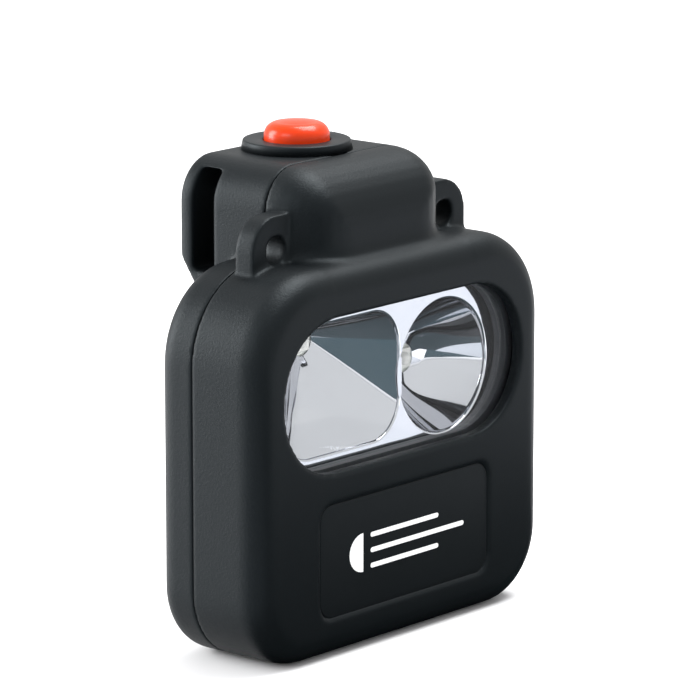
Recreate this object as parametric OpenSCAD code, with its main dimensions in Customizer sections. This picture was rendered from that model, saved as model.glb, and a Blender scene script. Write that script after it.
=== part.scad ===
// Cap lamp for a mining helmet: two-shell case, twin reflector behind a clear
// window, push button on a switch block, lanyard ears and a strap slot.
// X runs to the right seen from the front, Y to the rear, Z up.
// The origin is at the middle of the bounding box, on the flat bottom face.

/* [Body] */
// Width of the case
body_w = 77; // [72:0.1:92.4]
// Height of the case below the switch block
body_h = 67.2; // [66:0.02:80.7]
// Depth of the front shell, from its face to the parting line
front_d = 15; // [15:0.1:18]
// Depth of the rear shell behind the parting line
rear_d = 8; // [7.5:0.1:10]
// Wall of both shells
wall = 2.2; // [1.8:0.1:2.4]
// Radius of the two upper corners
top_r = 16; // [13:0.5:17]
// Radius of the two lower corners
low_r = 13; // [11:0.5:14]
// Rounding of the front edge
front_edge = 4.5; // [3:0.1:4.8]
// Rounding of the rear edge
rear_edge = 3.6; // [2.5:0.1:4]

/* [Switch block] */
// Width of the block
block_w = 39.4; // [38:0.2:44]
// Height of the block above the case
block_h = 15.5; // [14.5:0.1:18]
// Set-back of the block's front behind the case front
block_setback = 4.5; // [3.5:0.1:6]
// Reach of the block behind the case
block_reach = 11.6; // [11.4:0.1:13]
// Radius of the block's shoulders
shoulder_r = 7.6; // [6:0.2:9]
// Rounding of the block's front
block_edge = 10; // [8:0.1:10]

/* [Strap slot] */
// Front-to-back width of the slot
slot_d = 4.6; // [4.2:0.1:5]
// Height of the slot that goes right through
slot_h = 13.5; // [12:0.5:14]
// Thickness of the bar behind the slot
bar_t = 3.1; // [2.6:0.1:3.4]
// Depth of the relief above each end of the slot
relief_d = 8; // [6:0.5:8.5]

/* [Lanyard ears] */
// Distance between the two ear holes
ear_spacing = 44.6; // [44.4:0.2:46]
// Diameter of each ear hole
ear_hole = 4.8; // [4:0.1:5]
// Outer radius of each ear
ear_r = 6; // [5.4:0.1:6.4]
// Thickness of each ear
ear_t = 4.2; // [3:0.1:4.4]

/* [Window] */
// Width of the window opening
open_w = 63.6; // [60:0.2:64]
// Height of the window opening
open_h = 26.6; // [25:0.2:27]
// Width of the flange hidden behind the case wall
flange = 1.8; // [1.2:0.1:2]
// Thickness of the window plate
window_t = 1.2; // [1:0.1:1.4]
// Thickness of the gasket ring between window and reflector
gasket_t = 1.4; // [1.2:0.1:1.6]

/* [Reflector] */
// Rim radius of the round spot bowl
spot_r = 11.8; // [10.5:0.1:11.8]
// Width of the flood bowl at its rim
flood_w = 30.5; // [28:0.5:30.5]
// Height of the flood bowl at its rim
flood_h = 22.6; // [21:0.1:23]
// Corner radius of the flood bowl
flood_corner = 7; // [4:0.5:8]
// Depth of both bowls
bowl_d = 9.2; // [8.8:0.1:9.4]
// Skin of the reflector moulding
skin = 0.9; // [0.8:0.1:1]

/* [Button] */
// Diameter of the visible push button
button_dia = 11.4; // [9.5:0.1:11.6]
// Height of the button above its ring
button_rise = 3.3; // [2.6:0.1:4]
// Travel of the button
button_travel = 1.2; // [0.8:0.1:1.2]
// Radial running clearance of the button in its ring
button_gap = 0.08; // [0.05:0.01:0.1]
// Outer diameter of the button ring
ring_dia = 19.4; // [18:0.1:19.6]
// Height of the ring above the block
ring_h = 1.7; // [1.2:0.1:2.2]

/* [Battery] */
// Width of the cell
cell_w = 53; // [48:0.5:53]
// Height of the cell
cell_h = 25; // [22:0.5:25]
// Thickness of the cell
cell_t = 10; // [8:0.1:10]

/* [Fasteners] */
// Shank diameter of the case screws
screw_dia = 2.4; // [2:0.1:2.6]
// Head diameter of the case screws
screw_head = 4.4; // [4:0.1:4.6]
// Outer diameter of the threaded inserts
insert_dia = 4; // [3.8:0.1:4.2]
// Shank diameter of the board screws
board_screw = 2; // [1.6:0.1:2.2]

/* [Hidden] */

eps = 0.01;
body_d = front_d + rear_d;
overall_d = body_d + block_reach;
top_z = body_h + block_h;
seat_gap = 0.1;

// Window and what sits behind it
open_z = body_h - 21.6;
face_t = 2.4;
window_y = face_t;
gasket_y = window_y + window_t;
plate_y = gasket_y + gasket_t;
plate_t = 1.2;
spot_x = open_w / 2 - 15.8;
spot_z = open_z - 1.2;
flood_x = spot_x - spot_r - 0.3 - flood_w / 2;
flood_z = open_z - 0.1;
flood_led_x = flood_x;
flood_led_z = flood_z + 6.4;
bowl_floor_r = 2.6;
board_y = plate_y + bowl_d + 0.3;
board_t = 1.2;
spreader_y = board_y + board_t;
spreader_t = 1.2;
board_w = 52;
board_z0 = open_z - 14.4;
board_z1 = open_z + 17.4;
post_x = 22;
post_z = [board_z0 + 2.4, board_z1 - 2.4];
post_r = 2.2;
control_w = 38;
control_z0 = open_z - 11.4;
control_z1 = open_z + 13.6;
spacer_x = 16;
spacer_z = [control_z0 + 3, control_z1 - 3];
spacer_h = 1.6;
control_y = spreader_y + spreader_t + spacer_h;
control_t = 1;

// Case screws and their bosses
screw_x = body_w / 2 - 8;
screw_z = [8.5, body_h - 7.5];
boss_r = 2.8;
insert_l = 6;
head_t = 1.6;
head_sink = 0.6;

// Tongue of the rear shell and the seal on it
tongue_gap = 0.2;
tongue_t = 1.4;
tongue_l = 2.6;
seal_t = 0.7;
seal_w = 1.4;
seal_y = front_d - tongue_l + 0.6;

// Switch block
block_bottom = body_h - 20;
block_y = block_setback;
block_steps = 8;
ear_x = ear_spacing / 2;
ear_z = body_h + 2.6;
ear_y1 = front_d - 0.7;
ear_y0 = ear_y1 - ear_t;
slot_y1 = overall_d - bar_t;
slot_y0 = slot_y1 - slot_d;
slot_z0 = body_h - 3.8;
slot_z1 = slot_z0 + slot_h;
relief_z1 = slot_z1 + 4;
room_wall = 1;
room_y1 = slot_y0 - room_wall;
room_top = top_z - 1.6;

// Button and switch
button_r = button_dia / 2;
button_y = overall_d - ring_dia / 2 - 0.2;
ring_z = top_z + ring_h;
button_top = ring_z + button_rise;
guide_r = button_r + button_gap;
seal_ring = 0.5;
seal_z = top_z - 0.6;
flange_r = button_r + 1.1;
flange_t = 1;
flange_z = room_top - seat_gap - flange_t;
pocket_r = flange_r + 0.4;
pocket_z = slot_z1 + 1;
switch_y = room_y1 - 3.1;
switch_w = 5.8;
switch_z0 = body_h + 4.5;
switch_h = 3.5;
switch_top = switch_z0 + switch_h;
plunger_r = 1.5;
plunger_top = switch_top + 2.4;
switch_board_t = 1.2;
switch_board_w = 27;
switch_board_y0 = front_d + 1;
ledge_h = 5;
spring_r = 2.5;
spring_wire = 0.4;
spring_turns = 5;
spring_z1 = flange_z + 1.6;
spring_well_r = 3.1;

// Battery
cell_z0 = wall + tongue_gap + tongue_t + 0.3;
cell_y = face_t + 1.6;
pad_t = 1.4;
lead_r = 0.5;
lead_x = [-10.2, -7.8];
lead_bend = 1;
protection_t = 1.2;
lead_z = cell_z0 + cell_h + protection_t / 2 + 0.02;
lead_y1 = control_y - spacer_h / 2;
plug_z0 = control_z0 + 1.2;

// Charging contacts, low on the rear face
contact_x = 9;
contact_z = 16;
contact_r = 2;
contact_seal_t = 0.8;

// Label recess on the front face
label_w = 45.6;
label_h = 20.2;
label_z = 17;
label_sink = 0.8;
label_t = 0.5;
label_r = 3.2;

shell_colour = "#24282a";
board_colour = "#1d4a33";
steel_colour = "#b9bcc0";
brass_colour = "#c8a048";

// Places a piece that is drawn from the front face backwards.
module placed() {
    translate([0, -overall_d / 2, 0]) children();
}

// Points of one corner arc in a front view outline.
function arc(cx, cz, r, a0, a1, steps = 10) =
    [for (i = [0 : steps]) let (a = a0 + (a1 - a0) * i / steps) [cx + r * cos(a), cz + r * sin(a)]];

// Rounded rectangle seen from the front, with its own radii above and below.
function outline(w, z0, z1, r_top, r_low) = concat(
    arc(w / 2 - r_top, z1 - r_top, r_top, 0, 90),
    arc(-w / 2 + r_top, z1 - r_top, r_top, 90, 180),
    arc(-w / 2 + r_low, z0 + r_low, r_low, 180, 270),
    arc(w / 2 - r_low, z0 + r_low, r_low, 270, 360));

// Flat piece with a front view outline, from depth y0 to y1.
module slab(points, y0, y1) {
    translate([0, y1, 0]) rotate([90, 0, 0]) linear_extrude(y1 - y0) polygon(points);
}

// Round piece along the depth, from y0 to y1.
module along(x, z, r, y0, y1) {
    translate([x, y1, z]) rotate([90, 0, 0]) cylinder(r = r, h = y1 - y0, $fn = 48);
}

// Disc along the depth whose face at y0 has a rounded edge.
module soft_disc(x, z, r, y0, y1, edge) {
    translate([x, y0, z]) rotate([-90, 0, 0])
        rotate_extrude($fn = 64)
            polygon(concat(
                [[0, 0]],
                [for (i = [0 : 8]) let (a = 90 * i / 8)
                    [r - edge + edge * sin(a), edge - edge * cos(a)]],
                [[r, y1 - y0], [0, y1 - y0]]));
}

// Disc along the depth whose face at y1 has a rounded edge.
module soft_back(x, z, r, y0, y1, edge) {
    translate([0, y0 + y1, 0]) mirror([0, 1, 0]) soft_disc(x, z, r, y0, y1, edge);
}

// Case outline and block outline, drawn in by a distance.
function case_points(inset) = outline(body_w - 2 * inset, inset, body_h - inset,
    top_r - inset, low_r - inset);
function block_points(inset) = outline(block_w - 2 * inset, block_bottom, top_z - inset,
    max(shoulder_r - inset, 0.6), 1);

// Both outlines together as one prism.
module both(inset, y0, y1) {
    slab(case_points(inset), y0, y1);
    slab(block_points(inset), y0, y1);
}

// Stadium outline of the window opening, grown by a distance.
function stadium(grow) = outline(open_w + 2 * grow, open_z - open_h / 2 - grow,
    open_z + open_h / 2 + grow, open_h / 2 + grow - eps, open_h / 2 + grow - eps);

// Rim of the flood bowl, grown by a distance.
function flood_points(grow) = [for (p = outline(flood_w + 2 * grow, flood_z - flood_h / 2 - grow,
    flood_z + flood_h / 2 + grow, flood_corner + grow, flood_corner + grow)) p + [flood_x, 0]];

// Repeats a piece at the four case screws.
module at_screws() {
    for (side = [-1, 1], z = screw_z)
        translate([side * screw_x, 0, z]) children();
}

// Repeats a piece at the four board posts.
module at_posts() {
    for (side = [-1, 1], z = post_z)
        translate([side * post_x, 0, z]) children();
}

module front_outside() {
    hull() {
        for (side = [-1, 1]) {
            soft_disc(side * (body_w / 2 - top_r), body_h - top_r, top_r, 0, front_d, front_edge);
            soft_disc(side * (body_w / 2 - low_r), low_r, low_r, 0, front_d, front_edge);
        }
    }
    hull() {
        for (i = [0 : block_steps]) let (a = 90 * i / block_steps) {
            y = block_y + block_edge * (1 - cos(a));
            slab(block_points(block_edge * (1 - sin(a))), y, i == block_steps ? front_d : y + 0.02);
        }
    }
}

// One lug with its foot, before the hole is made.
module ear(side) {
    along(side * ear_x, ear_z, ear_r, ear_y0, ear_y1);
    translate([side * ear_x - ear_r, ear_y0, body_h - 4]) cube([2 * ear_r, ear_t, ear_z - body_h + 4]);
    translate([side > 0 ? ear_x - ear_r - 1 : -ear_x, ear_y0, body_h - 4])
        cube([ear_r + 1, ear_t, ear_z - body_h + 4 + ear_r - eps]);
}

module front_housing() color(shell_colour) placed() {
    difference() {
        union() {
            front_outside();
            for (side = [-1, 1]) ear(side);
        }
        for (side = [-1, 1]) along(side * ear_x, ear_z, ear_hole / 2, ear_y0 - 1, ear_y1 + 1);
        slab(case_points(wall), face_t, front_d + 1);
        slab(outline(block_w - 2 * wall, body_h - 10, top_z - wall, shoulder_r - wall, 1),
            front_d - tongue_l - 0.4, front_d + 1);
        slab(outline(block_w - 2 * wall - 3, body_h - 10, top_z - wall - 1.5, shoulder_r - wall, 1),
            front_d - tongue_l - 2.4, front_d + 1);
        slab(stadium(0), -1, face_t + 1);
        slab(outline(label_w, label_z - label_h / 2, label_z + label_h / 2, label_r, label_r),
            -1, label_sink);
    }
    difference() {
        at_screws() along(0, 0, boss_r, face_t - eps, front_d - tongue_l - 0.4);
        at_screws() along(0, 0, insert_dia / 2, front_d - tongue_l - 0.4 - insert_l, front_d);
    }
}

module rear_outside() {
    hull() {
        for (side = [-1, 1]) {
            soft_back(side * (body_w / 2 - top_r), body_h - top_r, top_r, front_d, body_d, rear_edge);
            soft_back(side * (body_w / 2 - low_r), low_r, low_r, front_d, body_d, rear_edge);
        }
    }
    intersection() {
        hull() {
            for (side = [-1, 1]) {
                soft_back(side * (block_w / 2 - shoulder_r), top_z - shoulder_r, shoulder_r,
                    front_d, overall_d, 1.2);
                soft_back(side * (block_w / 2 - 2), block_bottom - 1, 2, front_d, overall_d, 1.2);
            }
        }
        // Side profile with the slanted underside of the block
        translate([-block_w / 2 - 1, 0, 0]) rotate([90, 0, 90])
            linear_extrude(block_w + 2)
                polygon([[front_d - 1, block_bottom - 3], [body_d - 3, block_bottom - 3],
                    [overall_d + 1, body_h + 0.2], [overall_d + 1, top_z + 1],
                    [front_d - 1, top_z + 1]]);
    }
}

// Through slot for the strap, with a relief above each open end.
module strap_slot() {
    translate([-block_w / 2 - 1, slot_y0, slot_z0]) cube([block_w + 2, slot_d, slot_h]);
    for (side = [-1, 1])
        translate([side > 0 ? block_w / 2 - relief_d : -block_w / 2 - 1, slot_y0, slot_z1 - eps])
            cube([relief_d + 1, slot_d, relief_z1 - slot_z1]);
}

// Space inside the rear shell and inside the switch block.
module rear_room() {
    slab(case_points(wall), front_d - 1, body_d - wall);
    slab(outline(block_w - 2 * wall, body_h - 12, room_top, shoulder_r - wall, 1),
        front_d - 1, room_y1);
    translate([0, button_y, pocket_z]) cylinder(r = pocket_r, h = room_top - pocket_z, $fn = 64);
    translate([0, button_y, pocket_z]) cylinder(r = button_r + 1, h = top_z, $fn = 64);
}

module rear_cover() color(shell_colour) placed() {
    difference() {
        rear_outside();
        rear_room();
        strap_slot();
        at_screws() along(0, 0, screw_dia / 2 + 0.15, front_d - 1, body_d + 1);
        at_screws() along(0, 0, screw_head / 2 + 0.2, body_d - head_t - head_sink, body_d + 1);
        for (side = [-1, 1])
            along(side * contact_x, contact_z, contact_r + 0.05, body_d - wall - 1, body_d + 1);
    }
    // Tongue that enters the front shell
    difference() {
        both(wall + tongue_gap, front_d - tongue_l, front_d + 1);
        both(wall + tongue_gap + tongue_t, front_d - tongue_l - 1, front_d + 2);
        difference() {
            both(wall, seal_y, seal_y + seal_w);
            both(wall + tongue_gap + seal_t, seal_y - 1, seal_y + seal_w + 1);
        }
        // The tongue leaves the middle free where the two outlines meet
        slab(outline(block_w - 2 * wall - 2 * tongue_gap - 2 * tongue_t, body_h - 12, body_h + 4, 1, 1),
            front_d - tongue_l - 1, front_d + 2);
        at_screws() along(0, 0, screw_dia / 2 + 0.15, front_d - tongue_l - 1, front_d + 2);
    }
    // Bosses under the screw heads
    difference() {
        at_screws() along(0, 0, boss_r, front_d, body_d - head_t - head_sink - 1);
        at_screws() along(0, 0, screw_dia / 2 + 0.15, front_d - 1, body_d);
    }
    // Posts that carry the boards
    difference() {
        at_posts() along(0, 0, post_r, spreader_y + spreader_t, body_d - wall + eps);
        at_posts() along(0, 0, board_screw / 2, spreader_y + spreader_t - 1, body_d - wall);
    }
    // Ribs that press on the battery pad
    for (x = [-16, 0, 16])
        translate([x - 0.8, cell_y + cell_t + pad_t, wall + 2])
            cube([1.6, body_d - wall - cell_y - cell_t - pad_t + eps, cell_h - 3]);
    // Ledges that carry the switch board
    for (side = [-1, 1])
        translate([side > 0 ? block_w / 2 - wall - 7 : -block_w / 2 + wall - 1,
            front_d + 0.5, switch_z0 - switch_board_t - ledge_h])
            cube([8, room_y1 - front_d - 0.5 + eps, ledge_h]);
}

module housing_seal() color("#101214") placed() {
    difference() {
        both(wall + 0.02, seal_y + 0.05, seal_y + seal_w - 0.05);
        both(wall + tongue_gap + seal_t - 0.02, seal_y - 1, seal_y + seal_w + 1);
    }
}

module window() color("#dfe8ea") placed() {
    slab(stadium(flange), window_y + 0.02, gasket_y - 0.02);
}

module window_gasket() color("#43474a") placed() {
    difference() {
        slab(stadium(flange), gasket_y, plate_y - 0.02);
        slab(stadium(0), gasket_y - 1, plate_y + 1);
    }
}

// Cavity or outside of the spot bowl, as a parabola turned about its axis.
module spot_form(grow) {
    translate([spot_x, plate_y, spot_z]) rotate([-90, 0, 0])
        rotate_extrude($fn = 96)
            polygon(concat(
                [[0, -1], [spot_r + grow, -1]],
                [for (i = [0 : 10]) let (t = i / 10)
                    [bowl_floor_r + grow + (spot_r - bowl_floor_r) * sqrt(1 - t), bowl_d * t]],
                [[0, bowl_d]]));
}

// Cavity or outside of the flood bowl: a rounded rectangle drawn to the diode.
module flood_form(grow, front) {
    hull() {
        slab(flood_points(grow), plate_y + front, plate_y + 0.2);
        along(flood_led_x, flood_led_z, bowl_floor_r + grow, plate_y + bowl_d - 0.2, plate_y + bowl_d);
    }
}

module reflector() color("#d8dbe0") placed() {
    difference() {
        union() {
            slab(stadium(flange), plate_y, plate_y + plate_t);
            intersection() {
                union() {
                    spot_form(skin);
                    flood_form(skin, 0.1);
                }
                slab(stadium(flange), plate_y + eps, plate_y + bowl_d);
            }
        }
        intersection() {
            spot_form(0);
            slab(stadium(flange + 1), plate_y - 1, plate_y + bowl_d + 1);
        }
        flood_form(0, -0.6);
        along(spot_x, spot_z, bowl_floor_r, plate_y + bowl_d - 1, plate_y + bowl_d + 1);
        along(flood_led_x, flood_led_z, bowl_floor_r, plate_y + bowl_d - 1, plate_y + bowl_d + 1);
    }
}

// Board blank with the four screw holes.
module board_blank(y0, y1, hole) {
    difference() {
        slab(outline(board_w, board_z0, board_z1, 2, 2), y0, y1);
        at_posts() along(0, 0, hole, y0 - 1, y1 + 1);
    }
}

module led_board() color("#e9ebe6") placed()
    board_blank(board_y, spreader_y - 0.02, board_screw / 2 + 0.1);

// Diode: square base with a clear dome.
module diode(x, z, size) {
    translate([x - size / 2, board_y - 0.72, z - size / 2]) cube([size, 0.7, size]);
    translate([x, board_y - 0.7, z]) rotate([90, 0, 0])
        rotate_extrude($fn = 48)
            intersection() {
                circle(r = size * 0.36, $fn = 48);
                square(size);
            }
}

module spot_led() color("#f0dc70") placed() diode(spot_x, spot_z, 3.4);

module flood_led() color("#f0dc70") placed() diode(flood_led_x, flood_led_z, 3.4);

module heat_spreader() color("#9aa0a6") placed()
    board_blank(spreader_y, spreader_y + spreader_t - 0.02, board_screw / 2 + 0.1);

module board_screws() color(steel_colour) placed()
    at_posts() {
        along(0, 0, board_screw / 2 - 0.02, board_y - 0.5, body_d - wall - 1);
        difference() {
            along(0, 0, board_screw * 0.9, board_y - 1.3, board_y - 0.02);
            translate([-0.3, board_y - 1.8, -board_screw]) cube([0.6, 1, 2 * board_screw]);
        }
    }

module control_board() color(board_colour) placed()
    difference() {
        slab(outline(control_w, control_z0, control_z1, 1, 1), control_y, control_y + control_t);
        for (side = [-1, 1], z = spacer_z)
            along(side * spacer_x, z, 0.8, control_y - 1, control_y + control_t + 1);
    }

module board_spacers() color(brass_colour) placed()
    for (side = [-1, 1], z = spacer_z) {
        along(side * spacer_x, z, 1.5, control_y - spacer_h, control_y - 0.02);
        along(side * spacer_x, z, 0.78, control_y - 0.5, control_y + control_t + 0.6);
    }

// Parts on the control board: driver chip, coil and two capacitors.
module board_components() color("#2b2b30") placed() {
    chip_y = control_y - 0.95;
    translate([-4, chip_y, control_z0 + 9]) cube([6, 0.93, 6]);
    translate([4, chip_y - 0.2, control_z0 + 8]) cube([5, 1.13, 5]);
    for (z = [16, 19])
        translate([-3, chip_y + 0.2, control_z0 + z]) cube([3.2, 0.73, 1.6]);
}

module battery_cell() color("#3d6f9c") placed()
    slab(outline(cell_w, cell_z0, cell_z0 + cell_h, 2, 2), cell_y, cell_y + cell_t);

module battery_pad() color("#55585a") placed()
    slab(outline(cell_w - 8, cell_z0 + 1, cell_z0 + cell_h - 1, 2, 2),
        cell_y + cell_t + 0.02, cell_y + cell_t + pad_t - 0.02);

// Protection board along the top of the cell.
module protection_board() color(board_colour) placed()
    translate([-cell_w / 2 + 6, cell_y + 1.5, cell_z0 + cell_h + 0.02])
        cube([cell_w - 12, cell_t - 1.5, protection_t]);

// Pair of leads from the protection board, under the boards and up to the plug.
module battery_leads() color("#b02020") placed()
    for (x = lead_x) {
        along(x, lead_z, lead_r, cell_y + cell_t + 0.02, lead_y1 - lead_bend);
        translate([x, lead_y1 - lead_bend, lead_z + lead_bend]) rotate([90, 0, 90]) rotate([0, 0, -90])
            rotate_extrude(angle = 90, $fn = 48) translate([lead_bend, 0]) circle(r = lead_r, $fn = 24);
        translate([x, lead_y1, lead_z + lead_bend])
            cylinder(r = lead_r, h = plug_z0 - lead_z - lead_bend - 0.02, $fn = 24);
    }

module battery_plug() color("#e8e4d8") placed()
    translate([lead_x[0] - 1.4, control_y - spacer_h + 0.06, plug_z0])
        cube([lead_x[1] - lead_x[0] + 2.8, spacer_h - 0.08, 3.4]);

module switch_board() color(board_colour) placed()
    translate([-switch_board_w / 2, switch_board_y0, switch_z0 - switch_board_t + 0.02])
        cube([switch_board_w, room_y1 - switch_board_y0 - 0.2, switch_board_t - 0.04]);

module switch_body() color("#1a1c1e") placed()
    difference() {
        translate([-switch_w / 2, switch_y - switch_w / 2, switch_z0])
            cube([switch_w, switch_w, switch_h]);
        translate([0, switch_y, switch_z0 + 1]) cylinder(r = plunger_r + 0.08, h = switch_h, $fn = 48);
    }

module switch_plunger() color("#e6e6e6") placed()
    translate([0, switch_y, switch_z0 + 1 + button_travel + 0.2])
        cylinder(r = plunger_r, h = plunger_top - switch_z0 - 1 - button_travel - 0.2, $fn = 48);

// Two leads from the switch board down to the control board.
module switch_leads() color("#b02020") placed()
    for (x = [-3, 3]) {
        translate([x, control_y + control_t / 2, control_z1 + 0.02])
            cylinder(r = lead_r, h = switch_z0 - switch_board_t - control_z1 - 0.02, $fn = 24);
    }

// Centre line of the return spring.
function coil(i, steps) = let (a = 360 * spring_turns * i / steps,
    z = switch_top + spring_wire / 2 + 0.05
        + (spring_z1 - switch_top - spring_wire - 0.1) * i / steps)
    [spring_r * cos(a), switch_y + spring_r * sin(a), z];

module return_spring() color(steel_colour) placed() {
    sides = 8;
    steps = spring_turns * 16;
    rings = [for (i = [0 : steps]) let (c = coil(i, steps), a = 360 * spring_turns * i / steps)
        for (k = [0 : sides - 1]) let (b = 360 * k / sides)
            c + spring_wire / 2 * [cos(b) * cos(a), cos(b) * sin(a), sin(b)]];
    walls = [for (i = [0 : steps - 1], k = [0 : sides - 1]) let (n = (k + 1) % sides)
        [i * sides + k, (i + 1) * sides + k, (i + 1) * sides + n, i * sides + n]];
    caps = [[for (k = [0 : sides - 1]) k],
        [for (k = [sides - 1 : -1 : 0]) steps * sides + k]];
    polyhedron(points = rings, faces = concat(walls, caps));
}

module button_ring() color("#1b1e20") placed()
    translate([0, button_y, 0]) difference() {
        union() {
            translate([0, 0, top_z]) cylinder(r1 = ring_dia / 2, r2 = ring_dia / 2 - 0.3, h = ring_h, $fn = 96);
            translate([0, 0, room_top + 0.02]) cylinder(r = button_r + 0.98, h = top_z - room_top, $fn = 64);
        }
        translate([0, 0, room_top - 1]) cylinder(r = guide_r, h = ring_h + 4, $fn = 64);
        translate([0, 0, seal_z]) cylinder(r = guide_r + seal_ring, h = seal_ring, $fn = 64);
    }

module button_cap() color("#f04a10") placed() {
    dome = button_rise * 0.72;
    difference() {
        translate([0, button_y, 0]) rotate_extrude($fn = 96)
            polygon(concat(
                [[0, flange_z], [flange_r, flange_z], [flange_r, flange_z + flange_t],
                    [button_r, flange_z + flange_t]],
                [for (i = [0 : 8]) let (a = 90 * i / 8)
                    [button_r - 2.2 + 2.2 * cos(a), button_top - dome + dome * sin(a)]],
                [[0, button_top]]));
        translate([0, switch_y, flange_z - 1]) cylinder(r = spring_well_r, h = spring_z1 - flange_z + 1, $fn = 48);
    }
    translate([0, switch_y, plunger_top + 0.02])
        cylinder(r = plunger_r, h = spring_z1 - plunger_top + 0.1, $fn = 48);
}

module button_seal() color("#151719") placed()
    translate([0, button_y, seal_z + 0.02]) difference() {
        cylinder(r = guide_r + seal_ring - 0.02, h = seal_ring - 0.04, $fn = 64);
        translate([0, 0, -1]) cylinder(r = guide_r, h = 3, $fn = 64);
    }

module screw_inserts() color(brass_colour) placed() {
    y1 = front_d - tongue_l - 0.4;
    at_screws() difference() {
        along(0, 0, insert_dia / 2 - 0.01, y1 - insert_l + 0.5, y1 - 0.05);
        along(0, 0, screw_dia / 2 + 0.02, y1 - insert_l, y1 + 1);
    }
}

module housing_screws() color(steel_colour) placed() {
    y0 = front_d - tongue_l - insert_l + 1;
    seat = body_d - head_t - head_sink;
    at_screws() {
        along(0, 0, screw_dia / 2, y0, seat + 0.5);
        difference() {
            along(0, 0, screw_head / 2, seat + 0.02, seat + head_t);
            along(0, 0, screw_dia * 0.42, seat + 0.7, seat + head_t + 1);
        }
    }
}

module charge_contacts() color(brass_colour) placed()
    for (side = [-1, 1]) {
        along(side * contact_x, contact_z, contact_r, body_d - wall - 0.02, body_d - 0.3);
        along(side * contact_x, contact_z, contact_r * 0.5, body_d - wall - 2, body_d - wall);
    }

module contact_seals() color("#151719") placed()
    for (side = [-1, 1]) difference() {
        along(side * contact_x, contact_z, contact_r + 1.2, body_d - wall - contact_seal_t, body_d - wall - 0.02);
        along(side * contact_x, contact_z, contact_r * 0.5 + 0.05, body_d - wall - 3, body_d);
    }

module label_plate() color("#2a2e31") placed()
    slab(outline(label_w - 0.3, label_z - label_h / 2 + 0.15, label_z + label_h / 2 - 0.15,
        label_r, label_r), label_sink - label_t + 0.02, label_sink - 0.02);

front_housing();
rear_cover();
housing_seal();
window();
window_gasket();
reflector();
led_board();
spot_led();
flood_led();
heat_spreader();
board_screws();
control_board();
board_spacers();
board_components();
battery_cell();
protection_board();
battery_pad();
battery_leads();
battery_plug();
switch_board();
switch_body();
switch_plunger();
switch_leads();
return_spring();
button_ring();
button_cap();
button_seal();
screw_inserts();
housing_screws();
charge_contacts();
contact_seals();
label_plate();
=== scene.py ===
import math

import bmesh
import bpy
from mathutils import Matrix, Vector


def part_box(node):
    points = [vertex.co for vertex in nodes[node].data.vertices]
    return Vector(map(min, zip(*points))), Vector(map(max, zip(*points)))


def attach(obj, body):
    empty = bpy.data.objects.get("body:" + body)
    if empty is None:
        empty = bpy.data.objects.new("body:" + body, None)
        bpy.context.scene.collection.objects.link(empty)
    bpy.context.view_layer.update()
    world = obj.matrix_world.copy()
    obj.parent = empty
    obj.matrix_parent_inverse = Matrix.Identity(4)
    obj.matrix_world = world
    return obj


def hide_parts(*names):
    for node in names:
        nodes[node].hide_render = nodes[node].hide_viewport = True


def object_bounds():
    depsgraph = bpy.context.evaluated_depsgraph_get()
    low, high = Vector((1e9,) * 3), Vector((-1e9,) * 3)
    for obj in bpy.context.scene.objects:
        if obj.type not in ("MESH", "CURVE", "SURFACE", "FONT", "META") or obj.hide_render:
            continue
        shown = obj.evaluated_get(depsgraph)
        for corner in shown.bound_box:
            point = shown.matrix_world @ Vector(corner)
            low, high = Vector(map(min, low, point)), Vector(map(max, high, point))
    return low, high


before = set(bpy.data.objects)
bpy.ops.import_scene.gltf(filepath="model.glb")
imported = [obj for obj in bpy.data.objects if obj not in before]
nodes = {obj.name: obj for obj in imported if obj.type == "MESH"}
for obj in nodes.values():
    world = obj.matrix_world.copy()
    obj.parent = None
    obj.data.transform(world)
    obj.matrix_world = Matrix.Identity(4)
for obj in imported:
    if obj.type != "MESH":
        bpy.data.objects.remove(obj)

mm = 0.001
scene = bpy.context.scene
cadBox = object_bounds()
centre = (cadBox[0] + cadBox[1]) / 2
print("frame loaded:", len(nodes), "nodes")


def middle(node):
    low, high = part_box(node)
    return (low + high) / 2


# camera: a long lens from the front left, slightly above
cameraSet = {"azimuth": -50, "elevation": 12.3, "distance": 0.8376, "lens": 252,
             "slideRight": -9.74 * mm, "slideUp": 4.96 * mm, "aimBelowWindow": 0.2 * mm}


def makeCamera(s):
    a, e = math.radians(s["azimuth"]), math.radians(s["elevation"])
    back = Vector((math.sin(a) * math.cos(e), -math.cos(a) * math.cos(e), math.sin(e)))
    right = Vector((math.cos(a), math.sin(a), 0))
    up = back.cross(right)
    aim = middle("window")
    aim.y = cadBox[0].y
    aim.z -= s["aimBelowWindow"]
    data = bpy.data.cameras.new("camera")
    data.lens = s["lens"]
    data.clip_start, data.clip_end = 0.01, 20
    camera = bpy.data.objects.new("camera", data)
    camera.location = aim + back * s["distance"] + right * s["slideRight"] + up * s["slideUp"]
    camera.rotation_mode = "QUATERNION"
    camera.rotation_quaternion = (-back).to_track_quat("-Z", "Y")
    scene.collection.objects.link(camera)
    scene.camera = camera


makeCamera(cameraSet)


class Wire:  # a node socket that can stand in a plain expression
    def __init__(self, tree, socket):
        self.tree, self.socket = tree, socket

    def maths(self, operation, other, flipped=False):
        step = self.tree.nodes.new("ShaderNodeMath")
        step.operation = operation
        for entry, value in zip(step.inputs, (other, self) if flipped else (self, other)):
            if isinstance(value, Wire):
                self.tree.links.new(value.socket, entry)
            else:
                entry.default_value = value
        return Wire(self.tree, step.outputs[0])

    def __add__(self, other): return self.maths("ADD", other)
    def __radd__(self, other): return self.maths("ADD", other, True)
    def __sub__(self, other): return self.maths("SUBTRACT", other)
    def __rsub__(self, other): return self.maths("SUBTRACT", other, True)
    def __mul__(self, other): return self.maths("MULTIPLY", other)
    def __rmul__(self, other): return self.maths("MULTIPLY", other, True)


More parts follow.
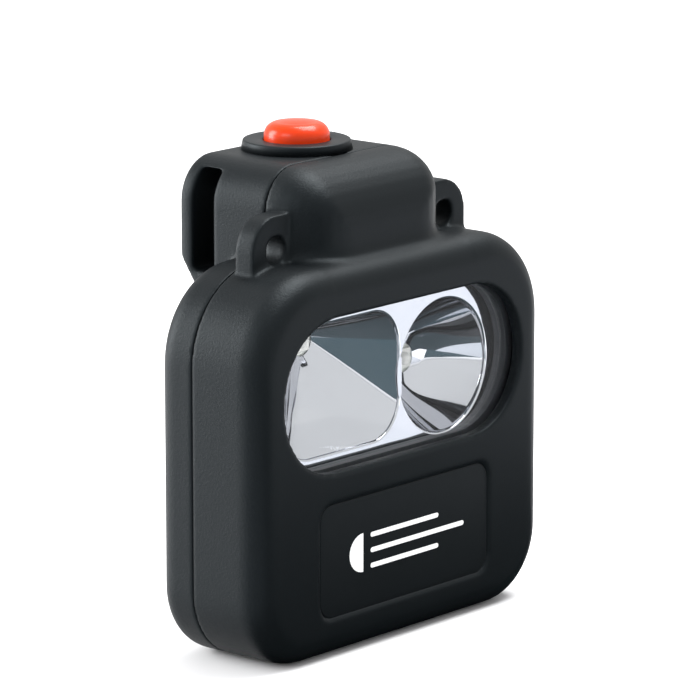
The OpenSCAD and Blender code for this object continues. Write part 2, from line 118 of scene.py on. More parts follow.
class Finish:  # one material, its principled shader and the nodes that feed it
    def __init__(self, name, **fixed):
        self.material = bpy.data.materials.new(name)
        self.material.use_nodes = True
        self.tree = self.material.node_tree
        self.shader = self.tree.nodes["Principled BSDF"]
        for key, value in fixed.items():
            self.shader.inputs[key.replace("_", " ")].default_value = value
        self.place = self.node("ShaderNodeTexCoord", out="Object")

    def node(self, kind, settings=None, inputs=None, out=0):
        made = self.tree.nodes.new(kind)
        for key, value in (settings or {}).items():
            setattr(made, key, value)
        for key, value in (inputs or {}).items():
            if isinstance(value, Wire):
                self.tree.links.new(value.socket, made.inputs[key])
            else:
                made.inputs[key].default_value = value
        return Wire(self.tree, made.outputs[out])

    def noise(self, scale, detail=2.0, rough=0.5):
        return self.node("ShaderNodeTexNoise", {}, {"Vector": self.place, "Scale": scale,
                                                    "Detail": detail, "Roughness": rough})

    def mix(self, share, low, high):
        return self.node("ShaderNodeMix", {"data_type": "RGBA"}, {0: share, 6: (*low, 1), 7: (*high, 1)}, 2)

    def smoothStep(self, value, low, high):
        return self.node("ShaderNodeMapRange", {"interpolation_type": "SMOOTHSTEP"},
                         {"Value": value, "From Min": low, "From Max": high})

    def bump(self, height, distance):
        self.use("Normal", self.node("ShaderNodeBump", {}, {"Height": height, "Distance": distance,
                                                            "Strength": 1.0}))

    def use(self, socket, wire):
        self.tree.links.new(wire.socket, self.shader.inputs[socket])


def plastic(name, dark, light, grainSize, grainDepth, rough, smoothFront=False, shine=0.5):
    finish = Finish(name, Specular_IOR_Level=shine)
    if shine < 0.3:  # the dull black plastics reflect a little cool
        finish.shader.inputs["Specular Tint"].default_value = (0.80, 0.93, 1.0, 1)
    grain = finish.noise(1 / grainSize, 3, 0.6)
    speckle = finish.noise(2.6 / grainSize, 1, 0.5)
    cloud = finish.noise(38, 3, 0.55)
    height = grain * 0.75 + speckle * 0.25
    if smoothFront:  # the mould is grained on the sides and only satin on the front
        facing = finish.node("ShaderNodeTexCoord", out="Normal")
        towardFront = finish.node("ShaderNodeSeparateXYZ", {}, {0: facing}, 1)
        side = finish.smoothStep(towardFront, -0.97, -0.6)
        height = height * (side * 0.8 + 0.2)
        roughness = rough - 0.05 + side * 0.07 + cloud * 0.08 + grain * 0.04
    else:
        roughness = rough + cloud * 0.08 + grain * 0.05
    finish.use("Base Color", finish.mix(cloud * 0.6 + grain * 0.4, dark, light))
    finish.use("Roughness", roughness)
    finish.bump(height, grainDepth)
    return finish.material


def rubber(name, colour, rough=0.6):
    finish = Finish(name)
    cloud = finish.noise(260, 3)
    finish.use("Base Color", finish.mix(cloud, [c * 0.8 for c in colour], [c * 1.2 for c in colour]))
    finish.use("Roughness", rough + cloud * 0.15)
    finish.bump(finish.noise(2400, 2), 0.02 * mm)
    return finish.material


def brightMetal(name, colour, rough, waviness=0.0, brushed=False):
    finish = Finish(name, Metallic=1.0)
    cloud = finish.noise(90, 3)
    finish.use("Base Color", finish.mix(cloud, [c * 0.94 for c in colour], colour))
    finish.use("Roughness", rough + cloud * rough * 0.6)
    if brushed:
        lines = finish.node("ShaderNodeTexWave", {"bands_direction": "X"}, {
            "Vector": finish.place, "Scale": 900, "Distortion": 2.0, "Detail": 2.0})
        finish.bump(lines, 0.01 * mm)
    elif waviness:
        finish.bump(finish.noise(75, 2, 0.4), waviness)
    return finish.material


def circuitBoard(name, mask, copper):
    finish = Finish(name, Specular_IOR_Level=0.5, Coat_Weight=0.3)
    upright = finish.node("ShaderNodeMapping", {}, {"Vector": finish.place,
                                                    "Rotation": (math.pi / 2, 0, 0)})
    tracks = finish.node("ShaderNodeTexBrick", {"offset": 0.35}, {
        "Vector": upright, "Scale": 420, "Mortar Size": 0.03, "Color1": (0, 0, 0, 1),
        "Color2": (0.1, 0.1, 0.1, 1), "Mortar": (1, 1, 1, 1)}, 1)
    finish.use("Base Color", finish.mix(tracks * 0.5, mask, copper))
    finish.use("Roughness", finish.noise(300, 2) * 0.12 + 0.28)
    finish.bump(tracks, 0.03 * mm)
    return finish.material


def silicone(name, deep, bright):
    finish = Finish(name, Specular_IOR_Level=0.20, Subsurface_Weight=0.12, Subsurface_Scale=1.2 * mm,
                    Coat_Weight=0.08, Coat_Roughness=0.10)
    finish.shader.inputs["Subsurface Radius"].default_value = (1.0, 0.3, 0.12)
    cloud = finish.noise(160, 3)
    finish.use("Base Color", finish.mix(cloud, deep, bright))
    finish.use("Roughness", cloud * 0.12 + 0.24)
    finish.bump(finish.noise(1800, 2), 0.008 * mm)
    return finish.material


def clearPlate(name):  # thin clear plate: see-through, with a mirror sheen on its outer face only
    finish = Finish(name)
    rim = finish.node("ShaderNodeFresnel", {}, {"IOR": 1.45})
    inside = finish.node("ShaderNodeNewGeometry", out="Backfacing")
    scratches = finish.node("ShaderNodeBump", {}, {"Height": finish.noise(700, 2), "Distance": 0.002 * mm})
    through = finish.node("ShaderNodeBsdfTransparent", {}, {0: (0.985, 0.99, 0.992, 1)})
    sheen = finish.node("ShaderNodeBsdfGlossy", {}, {"Roughness": 0.03, "Normal": scratches})
    join = finish.node("ShaderNodeMixShader", {}, {0: rim * (1 - inside) * 0.55, 1: through, 2: sheen})
    finish.tree.links.new(join.socket, finish.tree.nodes["Material Output"].inputs["Surface"])
    finish.tree.nodes.remove(finish.shader)
    return finish.material


finishes = {
    "shell": plastic("shellPlastic", (0.0022, 0.0030, 0.0036), (0.0040, 0.0052, 0.0060),
                     0.42 * mm, 0.075 * mm, 0.40, True, 0.16),
    "ring": plastic("ringPlastic", (0.0024, 0.0032, 0.0038), (0.0042, 0.0054, 0.0062),
                    0.25 * mm, 0.012 * mm, 0.42, False, 0.2),
    "label": plastic("labelPlastic", (0.0026, 0.0034, 0.0040), (0.0044, 0.0056, 0.0064),
                     0.22 * mm, 0.008 * mm, 0.42, False, 0.16),
    "components": plastic("mouldedChips", (0.012, 0.012, 0.013), (0.02, 0.02, 0.022),
                          0.2 * mm, 0.01 * mm, 0.45),
    "nylon": plastic("naturalNylon", (0.62, 0.58, 0.46), (0.72, 0.68, 0.56), 0.3 * mm, 0.008 * mm, 0.38),
    "lead": plastic("leadInsulation", (0.36, 0.012, 0.012), (0.46, 0.02, 0.018),
                    0.4 * mm, 0.006 * mm, 0.35),
    "cell": plastic("cellSleeve", (0.02, 0.085, 0.19), (0.03, 0.11, 0.24), 2.0 * mm, 0.02 * mm, 0.25),
    "ink": plastic("labelInk", (0.74, 0.75, 0.75), (0.82, 0.83, 0.83), 0.15 * mm, 0.006 * mm, 0.42),
    "seal": rubber("blackSeal", (0.012, 0.013, 0.014)),
    "gasket": rubber("greyGasket", (0.035, 0.038, 0.042), 0.45),
    "foam": rubber("greyFoam", (0.08, 0.085, 0.088), 0.8),
    "mirror": brightMetal("metallisedReflector", (0.68, 0.69, 0.725), 0.03, 0.10 * mm),
    "steel": brightMetal("platedSteel", (0.62, 0.63, 0.65), 0.24, 0.0, True),
    "spreader": brightMetal("spreaderSheet", (0.72, 0.73, 0.75), 0.3, 0.0, True),
    "brass": brightMetal("turnedBrass", (0.80, 0.60, 0.26), 0.2, 0.0, True),
    "whiteBoard": circuitBoard("whiteBoard", (0.74, 0.76, 0.72), (0.66, 0.68, 0.64)),
    "greenBoard": circuitBoard("greenBoard", (0.008, 0.075, 0.032), (0.03, 0.16, 0.07)),
    "button": silicone("buttonSilicone", (0.50, 0.024, 0.0003), (0.58, 0.036, 0.0006)),
    "phosphor": plastic("yellowPhosphor", (0.80, 0.62, 0.06), (0.92, 0.74, 0.12),
                        0.1 * mm, 0.004 * mm, 0.3),
    "ceramic": plastic("diodeCeramic", (0.70, 0.70, 0.67), (0.80, 0.80, 0.77),
                       0.2 * mm, 0.004 * mm, 0.35),
    "clear": clearPlate("clearWindow"),
}
print("finishes ready:", len(finishes))


def addPiece(name, mesh, finish, body, slot, *standsFor):
    piece = bpy.data.objects.new(name, mesh)
    scene.collection.objects.link(piece)
    mesh.materials.clear()
    for key in finish if isinstance(finish, tuple) else (finish,):
        mesh.materials.append(finishes[key])
    mesh.shade_smooth()
    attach(piece, body)
    if standsFor:
        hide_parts(*standsFor)
    return piece


def modified(piece, kind, settings):  # one modifier, applied
    modifier = piece.modifiers.new(kind, kind)
    for key, value in settings.items():
        setattr(modifier, key, value)
    evaluated = piece.evaluated_get(bpy.context.evaluated_depsgraph_get())
    mesh = bpy.data.meshes.new_from_object(evaluated)
    piece.modifiers.clear()
    piece.data = mesh


# moulded shells: the CAD solid is remeshed finely and its edges and corners are eased
shellSet = {"voxel": 0.42 * mm, "easing": 0.5, "passes": 7, "filletPasses": 70, "filletReach": 4.5 * mm,
            "seamDepth": 15 * mm, "seamKeep": 1.2 * mm, "seamClear": 3 * mm,
            "caseHeight": 67.2 * mm, "blockHalf": 19.7 * mm, "sideClear": 1 * mm}
seamY = cadBox[0].y + shellSet["seamDepth"]
caseTop = cadBox[0].z + shellSet["caseHeight"]


def blockFoot(point):  # how strongly the foot of the switch block is softened here
    s = shellSet
    if point.y > seamY - s["seamClear"] or abs(point.x) > s["blockHalf"] - s["sideClear"]:
        return 0
    away = abs(point.z - caseTop) / s["filletReach"]
    return max(0, 1 - away * away)


def mouldedShell(node, name, s, filletAt=None):
    source = bpy.data.objects.new(name + "Source", nodes[node].data.copy())
    scene.collection.objects.link(source)
    source.data.materials.clear()
    modified(source, "REMESH", {"mode": "VOXEL", "voxel_size": s["voxel"]})
    if filletAt:
        group = source.vertex_groups.new(name="fillet")
        for vertex in source.data.vertices:
            weight = filletAt(vertex.co)
            if weight > 0:
                group.add([vertex.index], weight, "REPLACE")
        modified(source, "SMOOTH", {"factor": s["easing"], "iterations": s["filletPasses"],
                                    "vertex_group": "fillet"})
    away = source.vertex_groups.new(name="awayFromSeam")  # the parting line stays crisp
    for vertex in source.data.vertices:
        away.add([vertex.index], min(1, abs(vertex.co.y - seamY) / s["seamKeep"]) ** 2, "REPLACE")
    modified(source, "SMOOTH", {"factor": s["easing"], "iterations": s["passes"],
                                "vertex_group": "awayFromSeam"})
    mesh = source.data
    bpy.data.objects.remove(source)
    addPiece(name, mesh, "shell", "case", "shell", node)
    print(name, len(mesh.vertices), "vertices")


mouldedShell("front_housing", "frontShell", shellSet, blockFoot)
mouldedShell("rear_cover", "rearShell", shellSet)


def ringLoft(name, rings, capped=False):  # joins rings of equal count, in order
    mesh = bpy.data.meshes.new(name)
    count = len(rings[0])
    points = [tuple(p) for ring in rings for p in ring]
    faces = []
    for r in range(len(rings) - 1):
        for i in range(count):
            j = (i + 1) % count
            faces.append((r * count + i, r * count + j, (r + 1) * count + j, (r + 1) * count + i))
    if capped:
        faces.append(tuple(range(count - 1, -1, -1)))
        faces.append(tuple(range((len(rings) - 1) * count, len(rings) * count)))
    mesh.from_pydata(points, [], faces)
    mesh.update()
    return mesh


def tidyNormals(mesh):
    work = bmesh.new()
    work.from_mesh(mesh)
    bmesh.ops.remove_doubles(work, verts=work.verts, dist=0.001 * mm)
    bmesh.ops.recalc_face_normals(work, faces=work.faces)
    work.to_mesh(mesh)
    work.free()
    return mesh


def meshFrom(work, name):  # a finished bmesh as a mesh, its normals outwards
    bmesh.ops.recalc_face_normals(work, faces=work.faces)
    mesh = bpy.data.meshes.new(name)
    work.to_mesh(mesh)
    work.free()
    return mesh


def circle(steps):
    return [2 * math.pi * i / steps for i in range(steps)]


def axisOf(node):  # a point on the upright axis through a node
    c = middle(node)
    return Vector((c.x, c.y, 0))


# a profile of (radius, height) pairs, turned about an axis
def turned(name, profile, axisPoint, axis="z", steps=96, capped=True):
    rings = []
    for radius, height in profile:
        ring = []
        for a in circle(steps):
            u, v = radius * math.cos(a), radius * math.sin(a)
            offset = Vector((u, v, height)) if axis == "z" else Vector((u, height, -v))
            ring.append(axisPoint + offset)
        rings.append(ring)
    return tidyNormals(ringLoft(name, rings, capped))


def roundOff(radius, height, r, steps=6):  # the outer top edge of a turned profile
    out = []
    for i in range(steps + 1):
        a = math.radians(90 * i / steps)
        out.append((radius - r + r * math.cos(a), height - r + r * math.sin(a)))
    return out


def sharpEdges(piece, angle=35):  # smooth faces, with a crease wherever they meet at more than the angle
    for face in piece.data.polygons:
        face.use_smooth = True
    piece.data.set_sharp_from_angle(angle=math.radians(angle))


# push button: a hollow cap with a foot flange, its stem and the ring round it
buttonSet = {"radius": 5.7 * mm, "shoulder": 2.3 * mm, "crown": 0.35 * mm, "skin": 0.6 * mm,
             "hollow": 2.95 * mm, "flangeDrop": 4.4 * mm, "flange": 1 * mm, "stem": 1.45 * mm,
             "around": 128}
ringSet = {"edge": 0.35 * mm, "well": 0.4 * mm, "gap": 0.1 * mm, "inset": 0.3 * mm, "plate": 1.7 * mm,
           "collar": 0.88 * mm}


def makeButton(s):
    low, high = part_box("button_cap")
    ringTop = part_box("button_ring")[1].z
    radius, bore = s["radius"], s["radius"] - s["skin"]
    foot, flangeRadius = ringTop - s["flangeDrop"], (high.x - low.x) / 2
    roof, flangeTop = foot + s["hollow"], foot + s["flange"]
    profile = [(0.3 * mm, roof), (bore, roof), (bore, foot), (flangeRadius, foot),
               (flangeRadius, flangeTop), (radius, flangeTop), (radius, ringTop + 0.2 * mm)]
    top = high.z - s["crown"]
    profile += roundOff(radius, top, s["shoulder"], 12)
    flat = radius - s["shoulder"]
    for i in range(1, 8):
        t = i / 8
        profile.append((flat * (1 - t), top + s["crown"] * (1 - (1 - t) ** 2)))
    cap = turned("buttonCap", profile, axisOf("button_ring"), steps=s["around"])
    addPiece("buttonCap", cap, "button", "button", "button", "button_cap")
    stemTop, core = roof + 0.3 * mm, 0.2 * mm
    stem = turned("buttonStem", [(core, low.z), (s["stem"], low.z), (s["stem"], stemTop), (core, stemTop)],
                  axisOf("switch_plunger"), steps=48)
    sharpEdges(addPiece("buttonStem", stem, "button", "button", "button"))


def makeRing(s):
    low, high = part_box("button_ring")
    outer, inner = (high.x - low.x) / 2, buttonSet["radius"] + s["gap"]
    underside, collar = high.z - s["plate"], inner + s["collar"]
    profile = [(inner, low.z), (inner, high.z - s["well"]),
               (inner + s["well"] * 0.3, high.z - s["well"] * 0.3), (inner + s["well"], high.z - 0.02 * mm)]
    profile += reversed(roundOff(outer - s["inset"], high.z, s["edge"]))
    profile += [(outer, underside), (collar, underside), (collar, low.z), (inner, low.z)]
    ring = turned("buttonRing", profile, axisOf("button_ring"), steps=buttonSet["around"], capped=False)
    addPiece("buttonRing", ring, "ring", "case", "ring", "button_ring")


makeButton(buttonSet)
makeRing(ringSet)


# window plate, with a fine bevel round both faces
windowSet = {"bevel": 0.15 * mm, "around": 160}


def stadiumRing(width, height, x, z, y, steps=windowSet["around"]):
    shift, r = (width - height) / 2, height / 2
    ring = []
    for i in range(steps):
        a = 2 * math.pi * (i + 0.5) / steps
        end = x + math.copysign(shift, math.cos(a))
        ring.append(Vector((end + r * math.cos(a), y, z + r * math.sin(a))))
    return ring


def makeWindow(s):
    low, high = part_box("window")
    c, bevel = middle("window"), s["bevel"]
    width, height = high.x - low.x, high.z - low.z
    sizes = [(2 * bevel, high.y), (0, high.y - bevel), (0, low.y + bevel), (2 * bevel, low.y)]
    rings = [stadiumRing(width - inset, height - inset, c.x, c.z, y) for inset, y in sizes]
    plate = tidyNormals(ringLoft("windowPlate", rings, True))
    sharpEdges(addPiece("windowPlate", plate, "clear", "case", "window", "window"))


# reflector: a front plate with a round spot bowl and a flood bowl drawn to an off-centre diode
reflectorSet = {"lip": 0.45 * mm, "floor": 2.6 * mm, "depth": 9.1 * mm, "skin": 0.3 * mm, "corner": 7 * mm,
                "spotRadius": 11.8 * mm, "spotAround": 144, "spotRows": 26, "floodRows": 18,
                "floodWidth": 30.5 * mm, "floodHeight": 22.6 * mm, "floodRise": 6.4 * mm}


def floodPairs(s, x, z, diode):  # each point of the rim, its point on the bowl's floor, and the way out
    halfW, halfH, r = s["floodWidth"] / 2, s["floodHeight"] / 2, s["corner"]
    corners = [(1, 1), (-1, 1), (-1, -1), (1, -1)]
    cornerSteps, sideSteps = 22, 8

    def rimPoint(k, a):
        sx, sz = corners[k % 4]
        return Vector((x + sx * (halfW - r) + r * math.cos(a), 0, z + sz * (halfH - r) + r * math.sin(a)))

    def floorPoint(degrees):
        b = math.radians(degrees)
        return Vector((diode.x + s["floor"] * math.cos(b), 0, diode.z + s["floor"] * math.sin(b)))

    pairs = []
    for k in range(4):
        start = 90 * k
        for i in range(cornerSteps + 1):
            t = i / cornerSteps
            a = math.radians(start + 90 * t)
            outward = Vector((math.cos(a), 0, math.sin(a)))
            pairs.append((rimPoint(k, a), floorPoint(start + 4 + 82 * t), outward))
        first, last = rimPoint(k, a), rimPoint(k + 1, a)
        for i in range(1, sideSteps):
            t = i / sideSteps
            pairs.append((first.lerp(last, t), floorPoint(start + 86 + 8 * t), outward))
    return pairs


def makeReflector(s):
    low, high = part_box("reflector")
    front, lip = low.y, s["lip"]
    spot, flood = middle("spot_led"), middle("flood_led")
    work = bmesh.new()

    def addRings(rings):
        made = [[work.verts.new(p) for p in ring] for ring in rings]
        count = len(made[0])
        for near, far in zip(made, made[1:]):
            for i in range(count):
                j = (i + 1) % count
                work.faces.new((near[i], near[j], far[j], far[i]))
        return made[0]

    def spotRing(r, y):
        return [Vector((spot.x + r * math.cos(a), y, spot.z + r * math.sin(a)))
                for a in circle(s["spotAround"])]

    lipSteps = [(1.0, 0.0), (0.62, 0.06), (0.3, 0.22), (0.08, 0.55), (0.0, 1.0)]  # outwards, inwards
    spotRings = [spotRing(s["spotRadius"] + lip * out, front + lip * deep) for out, deep in lipSteps]
    for i in range(1, s["spotRows"] + 1):
        t = i / s["spotRows"]
        spotRings.append(spotRing(s["floor"] + (s["spotRadius"] - s["floor"]) * math.sqrt(1 - t),
                                  front + lip + (s["depth"] - lip) * t))
    spotRim = addRings(spotRings)
    pairs = floodPairs(s, flood.x, flood.z - s["floodRise"], flood)
    floodRings = []
    for out, deep in lipSteps:
        inward = Vector((0, front + lip * deep, 0))
        floodRings.append([rim + outward * lip * out + inward for rim, floor, outward in pairs])
    for i in range(1, s["floodRows"] + 1):
        t = i / s["floodRows"]
        inward = Vector((0, front + lip + (s["depth"] - lip) * t, 0))
        floodRings.append([rim.lerp(floor, t) + inward for rim, floor, outward in pairs])
    floodRim = addRings(floodRings)
    c = middle("reflector")
    border = [work.verts.new(p) for p in stadiumRing(high.x - low.x, high.z - low.z, c.x, c.z, front)]
    edges = []
    for loop in (border, spotRim, floodRim):
        for i, v in enumerate(loop):
            w = loop[(i + 1) % len(loop)]
            edges.append(work.edges.get((v, w)) or work.edges.new((v, w)))
    bmesh.ops.triangle_fill(work, use_beauty=True, use_dissolve=False, edges=edges, normal=(0, -1, 0))
    for face in work.faces:
        face.smooth = True
    mesh = meshFrom(work, "reflectorMirror")
    if sum(p.normal.y * p.area for p in mesh.polygons) > 0:  # the mirror side looks forwards
        mesh.flip_normals()
    piece = addPiece("reflectorMirror", mesh, "mirror", "case", "reflector", "reflector")
    modified(piece, "SOLIDIFY", {"thickness": s["skin"], "offset": -1.0})
    piece.data.materials.clear()
    piece.data.materials.append(finishes["mirror"])
    sharpEdges(piece, 30)


makeWindow(windowSet)
makeReflector(reflectorSet)
print("optics ready")


# diodes: ceramic base, phosphor square and a clear dome
diodeSet = {"base": 3.4 * mm, "thick": 0.7 * mm, "chip": 2.0 * mm, "chipThick": 0.08 * mm, "dome": 1.2 * mm,
            "domeRows": 9, "around": 32}


def makeDiode(node, name, s):
    c, back = middle(node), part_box(node)[1].y
    face = back - s["thick"]
    work = bmesh.new()
    blocks = [(s["base"] / 2, face, back, 0), (s["chip"] / 2, face - s["chipThick"], face, 1)]
    for half, near, far, index in blocks:
        v = [work.verts.new((c.x + sx * half, y, c.z + sz * half)) for y in (near, far)
             for sx, sz in ((1, 1), (-1, 1), (-1, -1), (1, -1))]
        for quad in ((0, 1, 2, 3), (7, 6, 5, 4), (0, 4, 5, 1), (1, 5, 6, 2), (2, 6, 7, 3), (3, 7, 4, 0)):
            work.faces.new([v[i] for i in quad]).material_index = index
    before = None
    for i in range(s["domeRows"]):
        a = math.pi / 2 * i / s["domeRows"]
        r, depth = s["dome"] * math.cos(a), s["dome"] * math.sin(a)
        ring = [work.verts.new((c.x + r * math.cos(b), face - depth, c.z + r * math.sin(b)))
                for b in circle(s["around"])]
        if before:
            for k in range(s["around"]):
                j = (k + 1) % s["around"]
                work.faces.new((before[k], before[j], ring[j], ring[k])).material_index = 2
        before = ring
    work.faces.new(before).material_index = 2
    mesh = meshFrom(work, name)
    sharpEdges(addPiece(name, mesh, ("ceramic", "phosphor", "clear"), "case", "phosphor", node))


makeDiode("spot_led", "spotDiode", diodeSet)
makeDiode("flood_led", "floodDiode", diodeSet)


# label panel with a generic beam sign in white ink
labelSet = {"edge": 0.3 * mm, "corner": 3.2 * mm}
signSet = {"ink": 0.05 * mm, "sunk": 0.02 * mm, "left": 14.5 * mm, "lampX": 3.2 * mm, "lampDepth": 3.6 * mm,
           "lampHalf": 3.4 * mm, "barX": 5.6 * mm, "barHalf": 0.42 * mm, "barPitch": 2.72 * mm,
           "barLengths": (17.5 * mm, 24.5 * mm, 17.5 * mm)}


def roundedRing(width, height, corner, x, z, y, steps=10):
    ring = []
    for sx, sz, start in ((1, 1, 0), (-1, 1, 90), (-1, -1, 180), (1, -1, 270)):
        for i in range(steps + 1):
            a = math.radians(start + 90 * i / steps)
            ring.append(Vector((x + sx * (width / 2 - corner) + corner * math.cos(a), y,
                                z + sz * (height / 2 - corner) + corner * math.sin(a))))
    return ring


def makeLabel(s):
    low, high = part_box("label_plate")
    c, edge, corner = middle("label_plate"), s["edge"], s["corner"]
    width, height = high.x - low.x, high.z - low.z
    rings = [roundedRing(width, height, corner, c.x, c.z, high.y),
             roundedRing(width, height, corner, c.x, c.z, low.y + edge)]
    for i in range(1, 5):  # the front edge is rounded over in four steps
        a = math.pi / 2 * i / 4
        inset = edge * (1 - math.cos(a))
        rings.append(roundedRing(width - 2 * inset, height - 2 * inset, corner - inset, c.x, c.z,
                                 low.y + edge * (1 - math.sin(a))))
    panel = tidyNormals(ringLoft("labelPanel", rings, True))
    addPiece("labelPanel", panel, "label", "case", "label", "label_plate")


def makeSign(s):
    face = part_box("label_plate")[0].y
    c = middle("label_plate")
    left = c.x - s["left"]
    work = bmesh.new()

    def inked(outline):
        near = [work.verts.new((x, face - s["ink"], z)) for x, z in outline]
        far = [work.verts.new((x, face + s["sunk"], z)) for x, z in outline]
        work.faces.new(near)
        for i in range(len(near)):
            j = (i + 1) % len(near)
            work.faces.new((near[i], far[i], far[j], near[j]))
        work.faces.new(list(reversed(far)))

    def arc(x, z, reachX, reachZ, first, turn, steps):
        angles = [math.radians(first + turn * i / steps) for i in range(steps + 1)]
        return [(x + reachX * math.cos(a), z + reachZ * math.sin(a)) for a in angles]

    inked(arc(left + s["lampX"], c.z, s["lampDepth"], s["lampHalf"], 270, -180, 16))
    start, half = left + s["barX"], s["barHalf"]
    for row, length in zip((1, 0, -1), s["barLengths"]):
        z = c.z + row * s["barPitch"]
        inked(arc(start, z, half, half, 90, 180, 8) + arc(start + length, z, half, half, -90, 180, 8))
    sharpEdges(addPiece("beamSign", meshFrom(work, "beamSign"), "ink", "case", "label"))


makeLabel(labelSet)
makeSign(signSet)


# case screws: low heads with a hexagon socket
screwSet = {"shank": 1.2 * mm, "radius": 2.2 * mm, "head": 1.58 * mm, "edge": 0.35 * mm, "socket": 1.2 * mm,
            "socketDepth": 1.0 * mm, "chamfer": 0.08 * mm, "around": 48}


def makeScrews(s):
    low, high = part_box("housing_screws")
    radius, edge, socket = s["radius"], s["edge"], s["socket"]
    floor = high.y - s["socketDepth"]
    profile = [(s["shank"], low.y, 0), (s["shank"], high.y - s["head"], 0), (radius, high.y - s["head"], 0),
               (radius, high.y - edge, 0)]
    profile += [(radius - edge * (1 - math.cos(a)), high.y - edge * (1 - math.sin(a)), 0)
                for a in [math.pi / 6 * i for i in range(1, 4)]]
    profile += [(socket + s["chamfer"], high.y, 1), (socket, high.y - s["chamfer"], 1), (socket, floor, 1),
                (0.2 * mm, floor - 0.2 * mm, 1)]  # the last number says that the ring is a hexagon
    flat = math.pi / 6
    work = bmesh.new()
    for x in (low.x + radius, high.x - radius):
        for z in (low.z + radius, high.z - radius):
            before = None
            for r, y, hexagon in profile:
                ring = []
                for a in circle(s["around"]):
                    reach = r * math.cos(flat) / math.cos(a % (2 * flat) - flat) if hexagon else r
                    ring.append(work.verts.new((x + reach * math.cos(a), y, z + reach * math.sin(a))))
                if before:
                    for k in range(s["around"]):
                        j = (k + 1) % s["around"]
                        work.faces.new((before[k], before[j], ring[j], ring[k]))
                else:
                    work.faces.new(ring)
                before = ring
            work.faces.new(before)
    mesh = meshFrom(work, "caseScrews")
    sharpEdges(addPiece("caseScrews", mesh, "steel", "case", "steel", "housing_screws"))


makeScrews(screwSet)


# charging contacts: two turned pins with a dished face
contactSet = {"shank": 0.5, "head": 1.88 * mm, "edge": 0.3 * mm, "chamfer": 0.1 * mm, "slope": 0.35 * mm,
              "softening": 0.08 * mm, "dish": 0.15 * mm}


def makeContacts(s):
    low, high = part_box("charge_contacts")
    z, r = middle("charge_contacts").z, (high.z - low.z) / 2
    profile = [(r * s["shank"], low.y), (r * s["shank"], high.y - s["head"]), (r, high.y - s["head"]),
               (r, high.y - s["edge"]), (r - s["chamfer"], high.y - s["softening"]),
               (r - s["slope"], high.y), (r * 0.4, high.y), (r * 0.3, high.y - s["dish"])]
    joined = bmesh.new()
    for x in (low.x + r, high.x - r):
        part = turned("contact", profile, Vector((x, 0, z)), "y", 64)
        joined.from_mesh(part)
        bpy.data.meshes.remove(part)
    mesh = bpy.data.meshes.new("chargeContacts")
    joined.to_mesh(mesh)
    joined.free()
    sharpEdges(addPiece("chargeContacts", mesh, "brass", "case", "brass", "charge_contacts"))


makeContacts(contactSet)


# foam pad behind the cell, its sides bulging a little
padSet = {"bulge": 0.45 * mm, "corner": 2 * mm, "rows": 8, "fill": 0.4}


def makePad(s):
    low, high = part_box("battery_pad")
    c = middle("battery_pad")
    width, height, thick = high.x - low.x, high.z - low.z, high.y - low.y
    rings = []
    for i in range(s["rows"] + 1):
        a = math.pi * i / s["rows"]
        inset = 2 * s["bulge"] * (1 - math.sin(a))
        rings.append(roundedRing(width - inset, height - inset, s["corner"], c.x, c.z,
                                 low.y + thick * (1 - math.cos(a)) / 2))
    mesh = tidyNormals(ringLoft("foamPad", rings, True))
    pad = addPiece("foamPad", mesh, "foam", "case", "foam", "battery_pad")


makePad(padSet)
print("small pieces ready")

# the CAD nodes that stay, and what each is made of
kept = {"housing_seal": "seal", "window_gasket": "gasket", "led_board": "whiteBoard",
        "heat_spreader": "spreader", "board_screws": "steel", "control_board": "greenBoard",
        "board_spacers": "brass", "board_components": "components", "battery_cell": "cell",
        "protection_board": "greenBoard", "battery_leads": "lead", "battery_plug": "nylon",
        "switch_board": "greenBoard", "switch_body": "components", "switch_plunger": "nylon",
        "switch_leads": "lead", "return_spring": "steel", "button_seal": "seal",
        "screw_inserts": "brass", "contact_seals": "seal"}
for node, finish in kept.items():
    nodes[node].data.materials.clear()
    nodes[node].data.materials.append(finishes[finish])
print("inner nodes finished:", len(kept))


# studio: pale floor, three soft boxes, and floor cards that only reflections see
studioSet = {"floorSize": 3.0, "floorDrop": 0.05 * mm, "floorTone": (0.86, 0.86, 0.87), "air": 0.95,
             "cardLift": 0.2 * mm}


def flatSheet(name, low, high, z, material):
    mesh = bpy.data.meshes.new(name)
    corners = [(low[0], low[1], 0), (high[0], low[1], 0), (high[0], high[1], 0), (low[0], high[1], 0)]
    mesh.from_pydata(corners, [], [(0, 1, 2, 3)])
    mesh.materials.append(material)
    sheet = bpy.data.objects.new(name, mesh)
    sheet.location.z = cadBox[0].z + z
    scene.collection.objects.link(sheet)
    return sheet


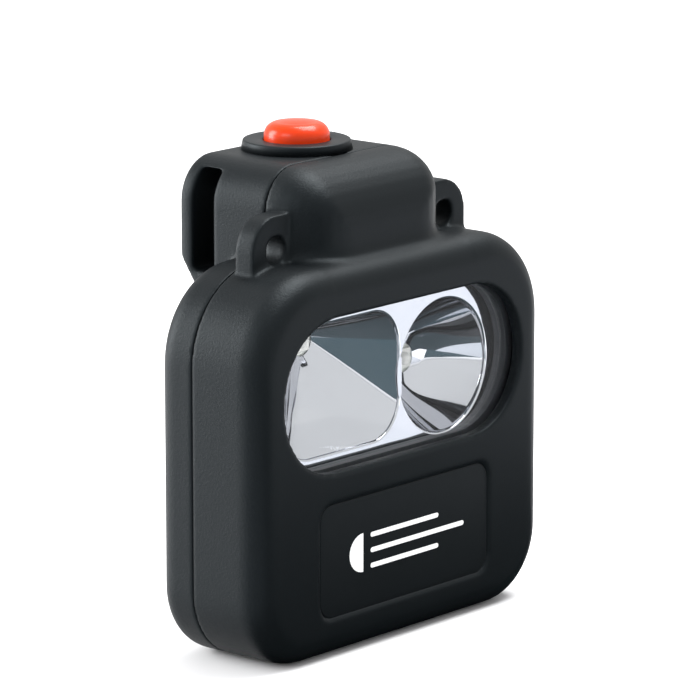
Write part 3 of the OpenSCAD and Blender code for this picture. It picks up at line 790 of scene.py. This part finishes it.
def makeFloor(s):
    finish = Finish("paleFloor")
    tone = finish.noise(3, 2)
    finish.use("Base Color", finish.mix(tone, [c * 0.985 for c in s["floorTone"]], s["floorTone"]))
    finish.use("Roughness", tone * 0.1 + 0.55)
    half = s["floorSize"]
    flatSheet("floor", (-half, -half), (half, half), -s["floorDrop"], finish.material)


def floorCard(name, low, high, tone):
    finish = Finish(name, Base_Color=(*tone, 1), Roughness=0.9, Specular_IOR_Level=0.1)
    card = flatSheet(name, low, high, studioSet["cardLift"], finish.material)
    card.visible_camera = False
    card.visible_shadow = False
    card.visible_diffuse = False


def softBox(name, size, power, azimuth, elevation, distance):
    a, e = math.radians(azimuth), math.radians(elevation)
    away = Vector((math.sin(a) * math.cos(e), -math.cos(a) * math.cos(e), math.sin(e)))
    data = bpy.data.lights.new(name, "AREA")
    data.shape, data.size, data.size_y = "RECTANGLE", size[0], size[1]
    data.energy = power
    lamp = bpy.data.objects.new(name, data)
    lamp.location = centre + away * distance
    lamp.rotation_mode = "QUATERNION"
    lamp.rotation_quaternion = (-away).to_track_quat("-Z", "Y")
    scene.collection.objects.link(lamp)


def makeAir(strength):
    world = bpy.data.worlds.new("studioAir")
    scene.world = world
    world.use_nodes = True
    background = world.node_tree.nodes["Background"]
    background.inputs["Color"].default_value = (1, 1, 1, 1)
    background.inputs["Strength"].default_value = strength


makeFloor(studioSet)
makeAir(studioSet["air"])
softBox("topSoft", (0.5, 0.4), 9.0, 75, 68, 0.7)
softBox("rearSoft", (0.25, 0.5), 6.0, -150, 12, 0.6)
softBox("leftSoft", (0.3, 0.2), 1.2, -92, 30, 0.6)
floorCard("frontCard", (-0.34, -0.46), (0.0, -0.13), (0.032, 0.055, 0.065))
floorCard("paleCard", (0.12, -0.60), (0.70, -0.012), (0.50, 0.51, 0.54))
floorCard("nearCard", (-0.05, -0.13), (0.12, -0.012), (0.02, 0.03, 0.035))
floorCard("leftCard", (-0.34, -0.13), (-0.05, -0.012), (0.40, 0.42, 0.45))
scene.view_settings.view_transform = "Standard"
print("studio ready")
